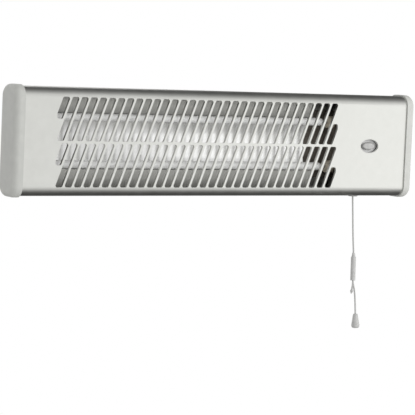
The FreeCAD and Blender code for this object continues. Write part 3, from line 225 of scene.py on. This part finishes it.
class Surface(Graph):
    """A material: its shader, and textures in the object's own coordinates."""

    def __init__(self, name, **sockets):
        self.material = bpy.data.materials.new(name)
        self.material.use_nodes = True
        super().__init__(self.material.node_tree)
        self.shader = self.tree.nodes["Principled BSDF"]
        coordinates = self.add("ShaderNodeTexCoord")
        self.place = coordinates.outputs["Object"]
        self.facing = coordinates.outputs["Normal"]
        for socket, value in sockets.items():
            self.shader.inputs[socket.replace("_", " ")].default_value = value

    def mapped(self, kind="POINT", **changes):
        """The object's coordinates, moved, turned or scaled."""
        mapping = self.add("ShaderNodeMapping", vector_type=kind)
        for socket, value in changes.items():
            mapping.inputs[socket].default_value = value
        self.link(self.place, mapping.inputs["Vector"])
        return mapping.outputs["Vector"]

    def noise(self, size, detail, stretch):
        """Cloudy noise whose patches are about size millimetres, stretched along the axes."""
        texture = self.add("ShaderNodeTexNoise")
        texture.inputs["Scale"].default_value = 1 / (size * MM)
        texture.inputs["Detail"].default_value = detail
        self.link(self.mapped(Scale=[1 / part for part in stretch]), texture.inputs["Vector"])
        return texture.outputs["Fac"]

    def colour(self, factor, dark, light):
        """Base colour from dark to light over a noise's usual range."""
        stops = list(zip(NOISE_RANGE, (dark, light)))
        self.link(self.ramp(factor, stops), self.shader.inputs["Base Color"])

    def recolour(self, factor, other, blend="MIX"):
        """Another colour, or an output, brought into the base colour by a factor."""
        base = self.shader.inputs["Base Color"]
        mix = self.add("ShaderNodeMix", data_type="RGBA", blend_type=blend)
        self.link(factor, mix.inputs["Factor"])
        self.link(base.links[0].from_socket, mix.inputs["A"])
        if isinstance(other, tuple):
            mix.inputs["B"].default_value = (*other, 1)
        else:
            self.link(other, mix.inputs["B"])
        self.link(mix.outputs["Result"], base)

    def roughness(self, factor, low, high):
        """Roughness from low to high over a noise's usual range."""
        self.link(self.spread(factor, low, high, *NOISE_RANGE), self.shader.inputs["Roughness"])

    def roughen(self, factor, more):
        """Roughness raised by a factor's share of more."""
        rough = self.shader.inputs["Roughness"]
        self.link(self.work_out("MULTIPLY_ADD", factor, more, rough.links[0].from_socket), rough)

    def relief(self, factor, depth):
        """Bump whose height is about depth millimetres."""
        bump = self.add("ShaderNodeBump")
        bump.inputs["Distance"].default_value = depth * MM
        self.link(factor, bump.inputs["Height"])
        self.link(bump.outputs["Normal"], self.shader.inputs["Normal"])


def grained(name, dark, light, patch, rough, grain=None, depth=0.0, stretch=(1, 1, 1), **sockets):
    """A surface with cloudy colour and roughness, and a fine relief where a grain is given."""
    surface = Surface(name, **sockets)
    cloud = surface.noise(patch, CLOUD_DETAIL, stretch)
    surface.colour(cloud, dark, light)
    surface.roughness(cloud, *rough)
    if grain:
        surface.relief(surface.noise(grain, GRAIN_DETAIL, stretch), depth)
    return surface


def reflector_surface():
    """Bright in the trough, duller on the wings, where painted shade darkens each wing, more so downwards."""
    surface = grained("bright_reflector", dark=(0.79, 0.79, 0.78), light=(0.85, 0.85, 0.84), patch=6.0,
                      rough=(0.14, 0.19), stretch=(8, 1, 1), Metallic=1.0)
    upright = surface.mapped("TEXTURE", Location=PIVOT, Rotation=(REST_TILT, 0, 0))
    height = surface.work_out("SUBTRACT", surface.axis(upright, "Z"), TROUGH_LIFT * MM)
    distance = surface.work_out("ABSOLUTE", height)
    wing = surface.spread(distance, 0.0, 1.0, (TROUGH_HALF - WING_BORDER) * MM, TROUGH_HALF * MM)
    surface.roughen(wing, WING_DULLNESS)
    reach = WING_HEIGHT * MM
    # Painted shade and painted dark reflection: these tones darken the wings' colour, more so downwards, in
    # place of the shade and dark mirror images the wings show.
    stops = [((up + WING_HEIGHT) / (2 * WING_HEIGHT), (tone, tone, WING_SHADE_BLUE * tone))
             for up, tone in WING_PAINTED_SHADE]
    painted_wing_shade = surface.ramp(surface.spread(height, 0.0, 1.0, -reach, reach), stops)
    surface.recolour(wing, painted_wing_shade, "MULTIPLY")
    return surface


def casing_surface():
    """Satin silver outside. The inner faces, which look back at the reflector, are pale and dull."""
    surface = grained("silver_casing", dark=(0.68, 0.684, 0.652), light=(0.72, 0.724, 0.692), patch=14.0,
                      rough=(0.37, 0.41), grain=0.5, depth=0.004, Metallic=1.0)
    inside = surface.spread(surface.axis(surface.facing, "Y"), 0.0, 1.0, *INNER_FACING)
    surface.recolour(inside, INNER_COLOUR)
    surface.roughen(inside, INNER_DULLNESS)
    return surface


def bezel_surface():
    """Satin grey, with painted shade darkening the wall round the dish."""
    surface = grained("bezel_plastic", dark=(0.56, 0.56, 0.55), light=(0.62, 0.62, 0.61), patch=5.0,
                      rough=(0.30, 0.40), grain=0.7, depth=0.01)
    wall = surface.spread(surface.axis(surface.facing, "Y"), 0.0, 1.0, *DISH_WALL_FACING)
    # Painted shade: the dish's wall is darkened where the real wall lies in shadow.
    surface.recolour(wall, DISH_WALL_SHADE)
    return surface


def cord_surface():
    """Braided cord: two sets of slanting strands."""
    surface = Surface("white_cord", Roughness=0.85)
    strands = []
    for lean in (-STRAND_LEAN, STRAND_LEAN):
        wave = surface.add("ShaderNodeTexWave", bands_direction="Z")
        wave.inputs["Scale"].default_value = STRAND_SCALE
        surface.link(surface.mapped(Rotation=(0, lean, 0)), wave.inputs["Vector"])
        strands.append(wave.outputs["Fac"])
    weave = surface.work_out("MULTIPLY", *strands)
    surface.colour(weave, dark=(0.44, 0.44, 0.43), light=(0.60, 0.60, 0.585))
    surface.relief(weave, STRAND_RELIEF)
    return surface


# Surfaces that need no function of their own
PLAIN_LOOKS = {
    "cap_plastic": dict(dark=(0.51, 0.515, 0.489), light=(0.55, 0.555, 0.527), patch=9.0,
                        rough=(0.46, 0.56), grain=0.6, depth=0.02),
    "zinc_steel": dict(dark=(0.50, 0.51, 0.53), light=(0.68, 0.69, 0.71), patch=5.0,
                       rough=(0.30, 0.46), grain=0.8, depth=0.004, Metallic=1.0),
    # Dark paint whose darkness is also painted shade: it stands in for the unlit inside of the casing seen
    # through the slots.
    "dark_steel": dict(dark=(0.140, 0.123, 0.104), light=(0.182, 0.162, 0.140), patch=6.0,
                       rough=(0.5, 0.65), grain=0.8, depth=0.01),
    "milky_quartz": dict(dark=(0.82, 0.82, 0.81), light=(0.90, 0.90, 0.89), patch=7.0,
                         rough=(0.18, 0.26), stretch=(6, 1, 1), Coat_Weight=0.5),
    "resistance_wire": dict(dark=(0.26, 0.24, 0.22), light=(0.42, 0.40, 0.38), patch=2.0,
                            rough=(0.4, 0.6), Metallic=1.0),
    "ceramic": dict(dark=(0.72, 0.65, 0.53), light=(0.84, 0.77, 0.65), patch=3.0,
                    rough=(0.6, 0.8), grain=0.7, depth=0.02),
    "lens_plastic": dict(dark=(0.36, 0.36, 0.35), light=(0.45, 0.45, 0.44), patch=4.0,
                         rough=(0.08, 0.16), Coat_Weight=0.6),
    "neon_glass": dict(dark=(0.75, 0.62, 0.52), light=(0.85, 0.72, 0.62), patch=3.0,
                       rough=(0.05, 0.12), Transmission_Weight=0.6),
    "black_plastic": dict(dark=(0.012, 0.012, 0.012), light=(0.022, 0.022, 0.021), patch=6.0,
                          rough=(0.4, 0.55), grain=0.7, depth=0.02),
    "white_plastic": dict(dark=(0.47, 0.47, 0.46), light=(0.51, 0.51, 0.50), patch=5.0,
                          rough=(0.32, 0.42), grain=0.9, depth=0.01),
    "grey_rubber": dict(dark=(0.03, 0.03, 0.03), light=(0.055, 0.055, 0.052), patch=4.0,
                        rough=(0.6, 0.8), grain=0.6, depth=0.02),
}
SURFACES = {slot: grained(slot, **look) for slot, look in PLAIN_LOOKS.items()}
SURFACES["silver_casing"] = casing_surface()
SURFACES["bright_reflector"] = reflector_surface()
SURFACES["bezel_plastic"] = bezel_surface()
SURFACES["white_cord"] = cord_surface()


def dress_nodes():
    """Every CAD node gets the surface of its slot in the record."""
    for part in frame["record"]["subparts"]:
        data = nodes[part["node"]].data
        data.materials.clear()
        data.materials.append(SURFACES[part["material_slot"]].material)


# Pieces in the place of CAD nodes

def add_piece(name, data, body, slot, *replaced):
    """A new object that rides on a body, takes a slot's surface and stands for CAD nodes."""
    item = bpy.data.objects.new(name, data)
    bpy.context.scene.collection.objects.link(item)
    data.materials.append(SURFACES[slot].material)
    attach(item, body)
    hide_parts(*replaced)
    return item


def add_mesh_piece(name, corners, faces, crease, slot, replaced):
    """A piece of the heater from corners and faces, smooth up to the crease angle."""
    mesh = bpy.data.meshes.new(name)
    mesh.from_pydata(corners, [], faces)
    mesh.shade_smooth()
    mesh.set_sharp_from_angle(angle=crease)
    add_piece(name, mesh, "heater", slot, replaced)


def offset_line(line, distance):
    """The same open line, moved sideways to the left of its run, with mitred corners."""
    sides = []
    for start, end in zip(line, line[1:]):
        back, up = end[0] - start[0], end[1] - start[1]
        run = math.hypot(back, up)
        sides.append((-up / run, back / run))
    moved = []
    for point, before, after in zip(line, sides[:1] + sides, sides + sides[-1:]):
        share = distance / (1 + before[0] * after[0] + before[1] * after[1])
        back, up = (share * (one + other) for one, other in zip(before, after))
        moved.append((point[0] + back, point[1] + up))
    return moved


def reflector_sheet():
    """The reflector as one smooth bent sheet: feet, flat wings, and a trough behind the tubes."""
    top, bottom = TROUGH_LIFT + TROUGH_HALF, TROUGH_LIFT - TROUGH_HALF
    arc = []
    for step in range(ARC_STEPS + 1):
        up = top + (bottom - top) * step / ARC_STEPS
        arc.append((TROUGH_FLOOR - ARC_RADIUS + math.sqrt(ARC_RADIUS ** 2 - (up - ARC_MIDDLE) ** 2), up))
    line = [(FOOT_BACK, FOOT_HEIGHT), (WING_BACK, WING_HEIGHT), (WING_BACK, top), *arc,
            (WING_BACK, bottom), (WING_BACK, -WING_HEIGHT), (FOOT_BACK, -FOOT_HEIGHT)]
    ring = line + offset_line(line, SHEET_THICKNESS)[::-1]
    low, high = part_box("reflector")
    tilt = Matrix.Rotation(REST_TILT, 3, "X")
    corners = [PIVOT + tilt @ Vector((0, back, up)) * MM + Vector((across, 0, 0))
               for across in (low[0], high[0]) for back, up in ring]
    count = len(ring)
    faces = [(i, (i + 1) % count, (i + 1) % count + count, i + count) for i in range(count)]
    for i in range(len(line) - 1):
        end = (i, count - 1 - i, count - 2 - i, i + 1)
        faces += [end, tuple(corner + count for corner in reversed(end))]
    add_mesh_piece("reflector_sheet", corners, faces, SHEET_CREASE, "bright_reflector", "reflector")


def cross_rim():
    """Angles round a screw, and how far the rim of its cross recess lies from the middle at each."""
    corner = math.atan2(CROSS_HALF_WIDTH, CROSS_HALF_LENGTH)
    quarter = math.pi / 2
    between = (corner + quarter / 2) / 2
    rim = []
    for arm in range(4):
        for angle in (-corner, 0.0, corner):
            rim.append((arm * quarter + angle, CROSS_HALF_LENGTH / math.cos(angle)))
        for angle in (between, quarter / 2, quarter - between):
            rim.append((arm * quarter + angle, CROSS_HALF_WIDTH / math.sin(min(angle, quarter - angle))))
    return rim


def screw_places(node):
    """Each screw of a node, heater upright: its middle across and up, and its two ends back."""
    upright = Matrix.Rotation(-REST_TILT, 3, "X")
    item = nodes[node]
    screws = []
    for vertex in item.data.vertices:
        point = upright @ (item.matrix_world @ vertex.co - PIVOT) / MM
        joined, apart = [point], []
        for screw in screws:
            if any(math.hypot(point.x - other.x, point.z - other.z) < SCREW_LINK for other in screw):
                joined += screw
            else:
                apart.append(screw)
        screws = apart + [joined]
    places = []
    for points in screws:
        across, back, up = ([point[axis] for point in points] for axis in range(3))
        places.append(((min(across) + max(across)) / 2, (min(up) + max(up)) / 2, min(back), max(back)))
    return places


def recessed_screws(node):
    """The node's screws with rounded heads and cross recesses, each turned another way."""
    rim = cross_rim()
    count = len(rim)
    tilt = Matrix.Rotation(REST_TILT, 3, "X")
    corners, faces = [], []
    for index, (across, up, tip, top) in enumerate(screw_places(node)):
        seat = top - HEAD_RINGS[-1][1]
        rings = [[(SHANK_RADIUS, tip)] * count, [(SHANK_RADIUS, seat)] * count]
        rings += [[(radius, seat + height)] * count for radius, height in HEAD_RINGS]
        rings.append([(reach, top) for _, reach in rim])
        rings.append([(CROSS_TAPER * reach, top - CROSS_DEPTH) for _, reach in rim])
        first = len(corners)
        for ring in rings:
            for (angle, _), (radius, back) in zip(rim, ring):
                turn = angle + index * SCREW_TURN
                point = Vector((across + radius * math.cos(turn), back, up + radius * math.sin(turn)))
                corners.append(PIVOT + tilt @ point * MM)
        for lower in range(first, first + (len(rings) - 1) * count, count):
            for i in range(count):
                j = (i + 1) % count
                faces.append((lower + i, lower + count + i, lower + count + j, lower + j))
        faces.append(tuple(range(first, first + count)))
        faces.append(tuple(reversed(range(len(corners) - count, len(corners)))))
    add_mesh_piece(f"{node}_recessed", corners, faces, SCREW_CREASE, "zinc_steel", node)


# Cords

def round_cord(name, diameter, lines, steps):
    """A curve with a round section along smooth lines, each of them open or closed to a loop."""
    curve = bpy.data.curves.new(name, "CURVE")
    curve.dimensions = "3D"
    curve.bevel_depth = diameter / 2 * MM
    curve.bevel_resolution = CORD_ROUNDNESS
    curve.use_fill_caps = True
    for points, closed in lines:
        spline = curve.splines.new("NURBS")
        spline.points.add(len(points) - 1)
        for control, point in zip(spline.points, points):
            control.co = (*point, 1)
        spline.order_u = 3
        spline.use_cyclic_u = closed
        spline.use_endpoint_u = not closed
        spline.resolution_u = steps
    return curve


def tail_knot():
    """An overhand knot, pulled tight, with the cord's short end below it."""
    middle = CORD_MOUTH + Vector(KNOT_PLACE) * MM
    turns = []
    for step in range(KNOT_POINTS):
        angle = 2 * math.pi * step / KNOT_POINTS
        across = KNOT_TURN * (math.sin(angle) + 2 * math.sin(2 * angle))
        back = KNOT_DEPTH * math.sin(3 * angle)
        up = KNOT_TURN * (math.cos(angle) - 2 * math.cos(2 * angle))
        turns.append((across, back, up))
    loop, end = ([middle + Vector(point) * MM for point in line] for line in (turns, KNOT_END))
    curve = round_cord("tail_knot_turns", KNOT_CORD, [(loop, True), (end, False)], KNOT_STEPS)
    return add_piece("tail_knot_turns", curve, "pull_cord", "white_cord", "tail_knot")


def cord(name, route, with_pieces):
    """A hanging cord along its route, in the place of the CAD node of that name."""
    points = [CORD_MOUTH + Vector(point) * MM for point in route]
    curve = round_cord(f"{name}_line", CORD_DIAMETER, [(points, False)], CORD_STEPS)
    item = add_piece(f"{name}_line", curve, "pull_cord", "white_cord", name)


# Studio

def camera():
    """The camera that took the photograph."""
    data = bpy.data.cameras.new("camera")
    data.lens = CAMERA_LENS
    data.clip_end = CAMERA_REACH
    item = bpy.data.objects.new("camera", data)
    item.location = CAMERA_PLACE
    item.rotation_euler = CAMERA_AIM.to_track_quat("-Z", "Y").to_euler()
    bpy.context.scene.collection.objects.link(item)
    bpy.context.scene.camera = item


def surrounding():
    """White to the eye. In the light it is bright before the wall and darker above, below and behind."""
    world = bpy.data.worlds.new("surrounding")
    bpy.context.scene.world = world
    world.use_nodes = True
    graph = Graph(world.node_tree)
    outwards = graph.add("ShaderNodeTexCoord").outputs["Generated"]
    ahead = graph.work_out("MULTIPLY", graph.axis(outwards, "Y"), -1.0)
    climb = graph.work_out("ARCTAN2", graph.axis(outwards, "Z"), ahead)
    stops = [((angle + 180) / 360, (level, level, level)) for angle, level in SKY]
    sky = graph.ramp(graph.spread(climb, 0.0, 1.0, -math.pi, math.pi), stops)
    path = graph.add("ShaderNodeLightPath")
    seen = graph.work_out("MAXIMUM", path.outputs["Is Camera Ray"], path.outputs["Is Transmission Ray"])
    white = graph.work_out("MULTIPLY_ADD", path.outputs["Is Diffuse Ray"], EVENNESS, seen)
    mix = graph.add("ShaderNodeMix", data_type="RGBA")
    graph.link(white, mix.inputs["Factor"])
    graph.link(sky, mix.inputs["A"])
    mix.inputs["B"].default_value = (1, 1, 1, 1)
    graph.link(mix.outputs["Result"], graph.tree.nodes["Background"].inputs["Color"])


def floor():
    """A pale floor that keeps the shadow and fades outwards into white."""
    half = FLOOR_SIZE / 2
    corners = [(-half, -half, 0), (half, -half, 0), (half, half, 0), (-half, half, 0)]
    mesh = bpy.data.meshes.new("floor")
    mesh.from_pydata(corners, [], [(0, 1, 2, 3)])
    surface = grained("floor", FLOOR_DARK, FLOOR_LIGHT, FLOOR_PATCH, FLOOR_ROUGH, Emission_Color=(1, 1, 1, 1))
    outwards = surface.add("ShaderNodeVectorMath", operation="LENGTH")
    surface.link(surface.place, outwards.inputs[0])
    fading = surface.spread(outwards.outputs["Value"], 1.0, 0.0, *FLOOR_FADE)
    surface.link(fading, surface.shader.inputs["Alpha"])
    seen = surface.add("ShaderNodeLightPath").outputs["Is Camera Ray"]
    surface.link(surface.work_out("MULTIPLY", seen, FLOOR_GLOW), surface.shader.inputs["Emission Strength"])
    mesh.materials.append(surface.material)
    item = bpy.data.objects.new("floor", mesh)
    item.location = (0, 0, FLOOR_HEIGHT)
    item.visible_glossy = False
    bpy.context.scene.collection.objects.link(item)


def lamp(name, place, aim, width, height, watts, mirrored):
    """A flat lamp that faces its aim."""
    data = bpy.data.lights.new(name, "AREA")
    data.shape = "RECTANGLE"
    data.size = width
    data.size_y = height
    data.energy = watts
    item = bpy.data.objects.new(name, data)
    item.location = place
    item.rotation_euler = (Vector(aim) - Vector(place)).to_track_quat("-Z", "Y").to_euler()
    item.visible_glossy = mirrored
    bpy.context.scene.collection.objects.link(item)


def studio():
    """Camera, white surrounding, floor and lamps."""
    bpy.context.scene.view_settings.view_transform = "Standard"
    camera()
    surrounding()
    floor()
    for name, settings in LAMPS.items():
        lamp(name, *settings)


dress_nodes()
reflector_sheet()
for screw_node in SCREW_NODES:
    recessed_screws(screw_node)
cord("upper_cord", UPPER_ROUTE,
     [nodes["connector_upper_half"], nodes["connector_lower_half"], tail_knot()])
cord("lower_cord", LOWER_ROUTE, [nodes["pull_bell"]])
studio()
